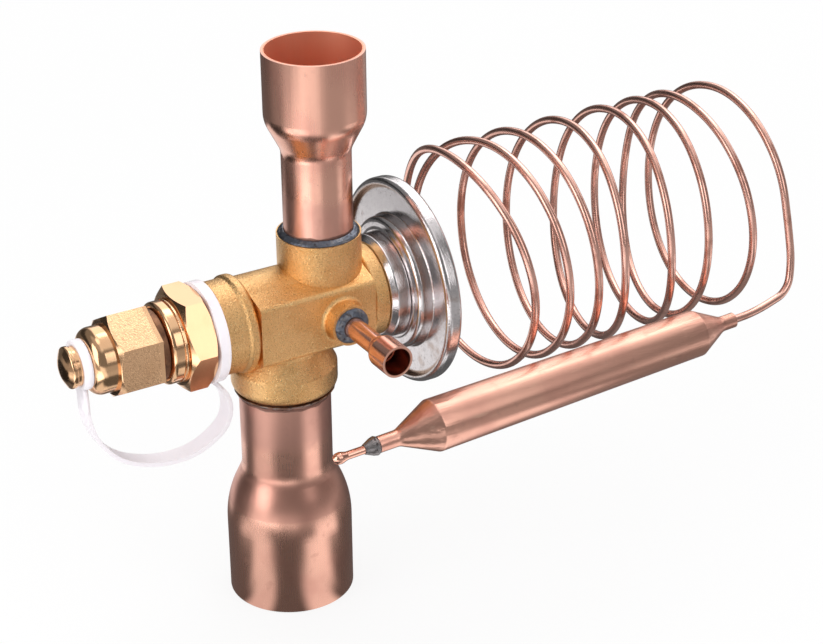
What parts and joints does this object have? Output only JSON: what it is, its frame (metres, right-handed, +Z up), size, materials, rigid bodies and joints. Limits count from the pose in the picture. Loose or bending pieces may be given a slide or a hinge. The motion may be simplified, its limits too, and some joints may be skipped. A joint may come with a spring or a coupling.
{
  "type": "thermostatic expansion valve",
  "caption": "Forged brass refrigerant expansion valve with copper tube stubs, screw cap on a strap, round power element, wound capillary and copper sensing bulb.",
  "frame": {"origin": "centre of the outlet socket's mouth, at the lower rim", "axes": "+Z up the outlet tube, +X along the valve axis from the seal cap to the power element, the equaliser tube points to -Y"},
  "size_m": [0.1855, 0.0698, 0.1382],
  "materials": {
    "forged_brass": "sand-blasted forging",
    "bright_brass": "turned and polished",
    "copper_tube": "satin drawn copper",
    "braze_filler": "dark silver braze",
    "bright_steel": "bright pressed steel with brown stains",
    "spring_steel": "drawn spring wire",
    "stainless": "ground",
    "gasket_copper": "dull copper",
    "black_rubber": "matt",
    "packing_white": "matt",
    "strap_plastic": "translucent nylon"
  },
  "bodies": {
    "valve": {"valve_body": "forged_brass", "inlet_tube": "copper_tube", "outlet_tube": "copper_tube", "equaliser_tube": "copper_tube", "inlet_braze_ring": "braze_filler", "outlet_braze_ring": "braze_filler", "equaliser_braze_ring": "braze_filler", "adjusting_housing": "bright_brass", "housing_o_ring": "black_rubber", "stem_packing": "packing_white", "packing_gland": "bright_brass", "superheat_spring": "spring_steel", "valve_seat": "stainless", "rod_seal": "black_rubber", "seal_retainer": "bright_brass", "cap_tether": "strap_plastic", "element_neck": "bright_steel", "lower_shell": "bright_steel", "upper_shell": "bright_steel", "diaphragm": "stainless", "capillary_braze_ring": "braze_filler", "capillary_tube": "copper_tube", "sensing_bulb": "copper_tube", "bulb_braze_ring": "braze_filler", "charging_tube": "copper_tube"},
    "closing_set": {"valve_cone": "stainless", "spring_carrier": "bright_brass", "push_rod": "stainless", "buffer_plate": "stainless"},
    "setting_stem": {"adjusting_stem": "bright_brass"},
    "setting_seat": {"spring_seat": "bright_brass"},
    "gasket": {"cap_gasket": "gasket_copper"},
    "cap": {"seal_cap": "bright_brass"}
  },
  "joints": [
    {"name": "valve_lift", "type": "slide", "parent": "valve", "child": "closing_set", "axis": [-1, 0, 0], "range_m": [0, 0.001], "stiffness_N_per_m": 6000, "springref_m": -0.003, "deforming": ["superheat_spring", "diaphragm"]},
    {"name": "stem_turn", "type": "hinge", "parent": "valve", "child": "setting_stem", "pos_m": [-0.04, 0, 0.075], "axis": [1, 0, 0], "range_deg": [-720.5, 720.5]},
    {"name": "seat_travel", "type": "slide", "parent": "valve", "child": "setting_seat", "axis": [1, 0, 0], "range_m": [-0.002, 0.002], "deforming": ["superheat_spring"]},
    {"name": "cap_travel", "type": "slide", "parent": "valve", "child": "gasket", "axis": [-1, 0, 0], "range_m": [0, 0.006], "deforming": ["cap_tether"]},
    {"name": "cap_turn", "type": "hinge", "parent": "gasket", "child": "cap", "pos_m": [-0.04, 0, 0.075], "axis": [-1, 0, 0], "range_deg": [0, 2160.5]}
  ],
  "couplings": [
    {"joint": "stem_turn", "follows": "seat_travel", "rad_per_m": 6283.2},
    {"joint": "cap_turn", "follows": "cap_travel", "rad_per_m": 6283.2}
  ]
}
